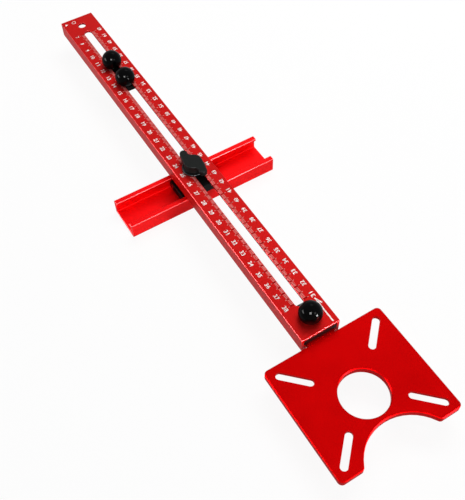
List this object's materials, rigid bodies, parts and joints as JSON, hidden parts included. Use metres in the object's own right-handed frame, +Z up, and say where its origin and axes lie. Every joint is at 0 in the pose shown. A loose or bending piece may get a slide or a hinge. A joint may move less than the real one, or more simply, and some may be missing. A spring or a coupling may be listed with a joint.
{
  "type": "router circle cutting jig",
  "caption": "Slotted, scaled channel bar with a router base plate at one end, a pivot carriage that slides in its slot and a clamped edge guide across it.",
  "frame": {"origin": "under the middle of the jig, on the surface that the edge guide stands on", "axes": "+X along the bar from the pivot carriage to the base plate, +Y across the bar along the edge guide, +Z up"},
  "size_m": [0.4384, 0.1174, 0.0367],
  "materials": {
    "bar_red": "satin red anodised",
    "plate_red": "satin red anodised",
    "guide_red": "satin red anodised",
    "black_block": "matt black",
    "ball_black": "polished black",
    "wing_black": "satin black",
    "bright_steel": "bright zinc plated",
    "black_steel": "black oxide",
    "brass": "turned brass"
  },
  "bodies": {
    "frame": {"bar": "bar_red", "base_plate": "plate_red", "plate_block": "black_block", "plate_screw_1": "bright_steel", "plate_screw_2": "bright_steel"},
    "plate_clamp": {"plate_knob": "ball_black", "plate_stud": "bright_steel"},
    "carriage": {"carriage_block": "black_block", "pivot_pin": "bright_steel"},
    "carriage_clamp_1": {"carriage_knob_1": "ball_black", "carriage_stud_1": "bright_steel"},
    "carriage_clamp_2": {"carriage_knob_2": "ball_black", "carriage_stud_2": "bright_steel"},
    "guide_clamp": {"guide_slider": "black_block", "guide_clamp_block": "black_block", "guide_bolt": "bright_steel", "guide_washer": "black_steel"},
    "edge_guide": {"guide_channel": "guide_red"},
    "wing": {"wing_knob": "wing_black", "wing_insert": "brass"}
  },
  "joints": [
    {"name": "plate_knob_turn", "type": "hinge", "parent": "frame", "child": "plate_clamp", "pos_m": [0.12735, 0, 0.0243], "axis": [0, 0, 1], "range_deg": [0, 360]},
    {"name": "carriage_slide", "type": "slide", "parent": "frame", "child": "carriage", "axis": [1, 0, 0], "range_m": [-0.0467, 0.0428]},
    {"name": "carriage_knob_1_turn", "type": "hinge", "parent": "carriage", "child": "carriage_clamp_1", "pos_m": [-0.14826, 0, 0.0243], "axis": [0, 0, 1], "range_deg": [0, 360]},
    {"name": "carriage_knob_2_turn", "type": "hinge", "parent": "carriage", "child": "carriage_clamp_2", "pos_m": [-0.12466, 0, 0.0243], "axis": [0, 0, 1], "range_deg": [0, 360]},
    {"name": "guide_slide", "type": "slide", "parent": "frame", "child": "guide_clamp", "axis": [1, 0, 0], "range_m": [-0.0428, 0.1149]},
    {"name": "guide_cross_slide", "type": "slide", "parent": "guide_clamp", "child": "edge_guide", "axis": [0, 1, 0], "range_m": [-0.04345, 0.04345]},
    {"name": "wing_knob_turn", "type": "hinge", "parent": "guide_clamp", "child": "wing", "pos_m": [-0.01655, 0, 0.0243], "axis": [0, 0, 1], "range_deg": [0, 360]}
  ]
}
